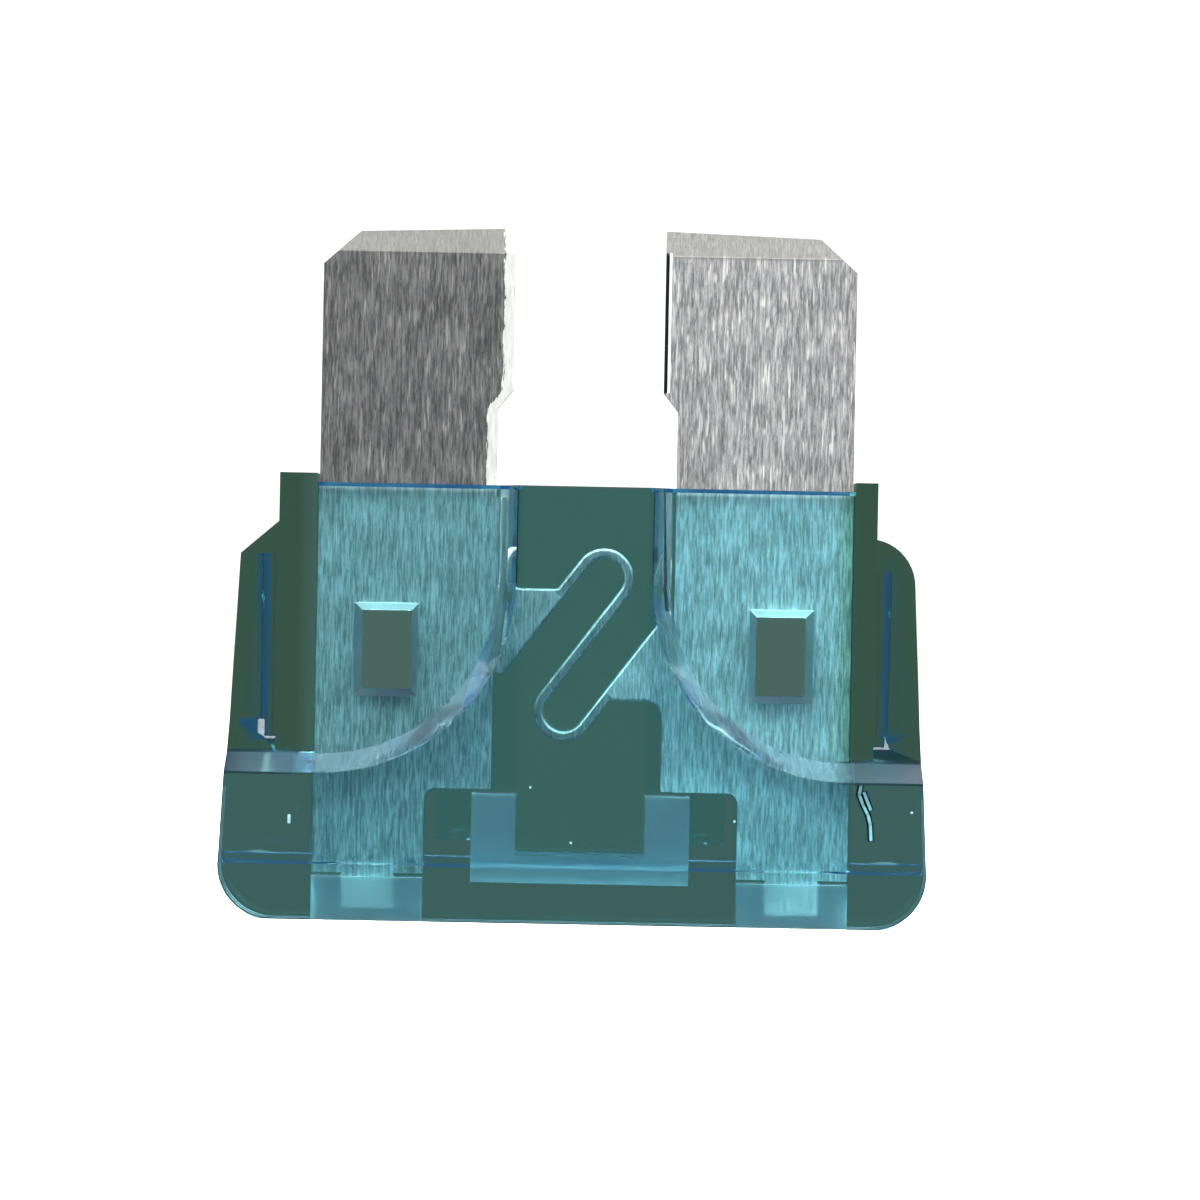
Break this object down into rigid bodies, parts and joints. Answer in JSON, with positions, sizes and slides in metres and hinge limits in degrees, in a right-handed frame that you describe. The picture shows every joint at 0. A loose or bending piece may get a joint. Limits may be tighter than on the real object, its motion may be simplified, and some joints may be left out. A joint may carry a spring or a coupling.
{
  "type": "automotive blade fuse",
  "caption": "Regular automotive blade fuse: clear blue-green moulded housing, winged at the sides, around a stamped zinc element with two flat blades and a thin S-shaped link",
  "frame": {"origin": "centre of the flat grip end, which the fuse stands on", "axes": "+X across the two blades, +Y through the thickness away from the viewer, +Z from the grip end to the blade tips"},
  "size_m": [0.019, 0.0052, 0.0188],
  "materials": {
    "housing_plastic": "clear blue-green moulded plastic, glossy",
    "zinc_alloy": "rolled zinc alloy with fine lines along the blades"
  },
  "bodies": {
    "root": {"housing": "housing_plastic", "fuse_element": "zinc_alloy"}
  },
  "joints": []
}
